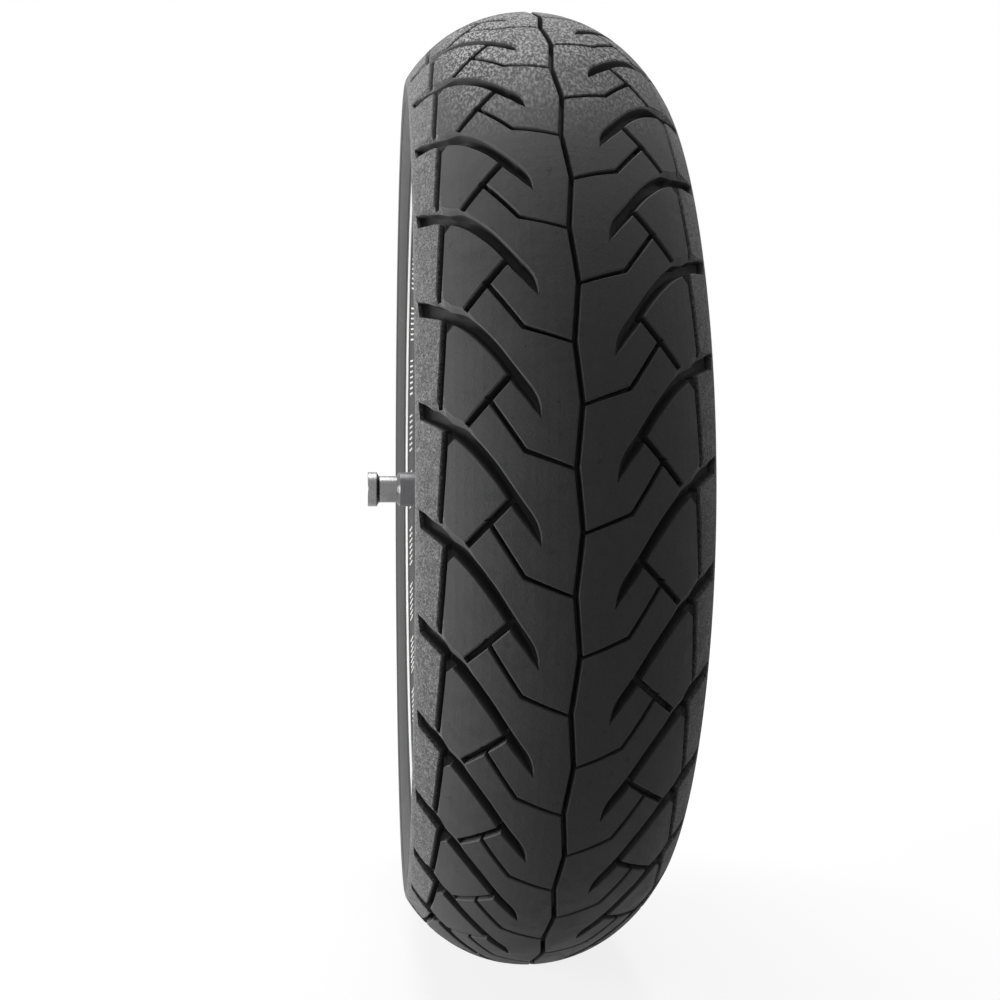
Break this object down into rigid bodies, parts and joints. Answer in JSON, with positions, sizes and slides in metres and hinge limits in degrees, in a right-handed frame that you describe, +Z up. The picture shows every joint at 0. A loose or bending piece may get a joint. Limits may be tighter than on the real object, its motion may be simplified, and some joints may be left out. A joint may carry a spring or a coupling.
{
  "type": "motorcycle wheel with tyre",
  "caption": "Small motorcycle wheel with a tubeless tyre, cut with curved, directional tread grooves, turning on bearings on a turned axle with round heads.",
  "frame": {"origin": "centre of the wheel, on the axle's axis and in the tyre's centre plane", "axes": "+Y along the axle towards the end screw, +Z up, +X forwards across the wheel"},
  "size_m": [0.414, 0.133, 0.414],
  "materials": {
    "tread_rubber": "matt moulded",
    "sidewall_rubber": "matt moulded",
    "bead_rubber": "matt",
    "liner_rubber": "smooth",
    "ply_cord": "rubbered cord",
    "bead_wire": "bronzed wire",
    "cast_alloy": "satin cast",
    "axle_steel": "turned",
    "tube_steel": "drawn",
    "valve_rubber": "matt",
    "valve_brass": "turned",
    "spring_steel": "drawn",
    "cap_plastic": "moulded",
    "bearing_steel": "ground",
    "cage_plastic": "moulded",
    "seal_rubber": "satin"
  },
  "bodies": {
    "axle": {"axle": "axle_steel", "axle_end_screw": "axle_steel", "collar_left": "axle_steel", "collar_right": "axle_steel", "distance_tube": "tube_steel", "bearing_inner_race_left": "bearing_steel", "bearing_inner_race_right": "bearing_steel"},
    "wheel": {"tread_band": "tread_rubber", "sidewall_left": "sidewall_rubber", "sidewall_right": "sidewall_rubber", "chafer_left": "bead_rubber", "chafer_right": "bead_rubber", "bead_filler_left": "bead_rubber", "bead_filler_right": "bead_rubber", "inner_liner": "liner_rubber", "carcass_ply_inner": "ply_cord", "carcass_ply_outer": "ply_cord", "breaker_ply": "ply_cord", "bead_core_left": "bead_wire", "bead_core_right": "bead_wire", "wheel_casting": "cast_alloy", "valve_body": "valve_rubber", "valve_stem": "valve_brass", "valve_core": "valve_brass", "valve_spring": "spring_steel", "bearing_outer_race_left": "bearing_steel", "bearing_seals_left": "seal_rubber", "dust_seal_left": "seal_rubber", "bearing_outer_race_right": "bearing_steel", "bearing_seals_right": "seal_rubber", "dust_seal_right": "seal_rubber"},
    "ball_set_left": {"bearing_balls_left": "bearing_steel", "bearing_cage_left": "cage_plastic"},
    "ball_set_right": {"bearing_balls_right": "bearing_steel", "bearing_cage_right": "cage_plastic"},
    "valve_pin": {"valve_pin": "valve_brass"},
    "valve_cap": {"valve_cap": "cap_plastic"}
  },
  "joints": [
    {"name": "wheel_spin", "type": "hinge", "parent": "axle", "child": "wheel", "pos_m": [0, 0, 0], "axis": [0, 1, 0], "continuous": true},
    {"name": "ball_set_left_spin", "type": "hinge", "parent": "axle", "child": "ball_set_left", "pos_m": [0, -0.029, 0], "axis": [0, 1, 0], "continuous": true},
    {"name": "ball_set_right_spin", "type": "hinge", "parent": "axle", "child": "ball_set_right", "pos_m": [0, 0.029, 0], "axis": [0, 1, 0], "continuous": true},
    {"name": "valve_pin_push", "type": "slide", "parent": "wheel", "child": "valve_pin", "axis": [0, 0, -1], "range_m": [0, 0.0015], "stiffness_N_per_m": 900, "springref_m": -0.0008, "deforming": ["valve_spring"]},
    {"name": "valve_cap_off", "type": "slide", "parent": "wheel", "child": "valve_cap", "axis": [0, 0, 1], "range_m": [0, 0.012]}
  ],
  "couplings": [
    {"joint": "ball_set_left_spin", "follows": "wheel_spin", "ratio": 0.6341},
    {"joint": "ball_set_right_spin", "follows": "wheel_spin", "ratio": 0.6341}
  ]
}
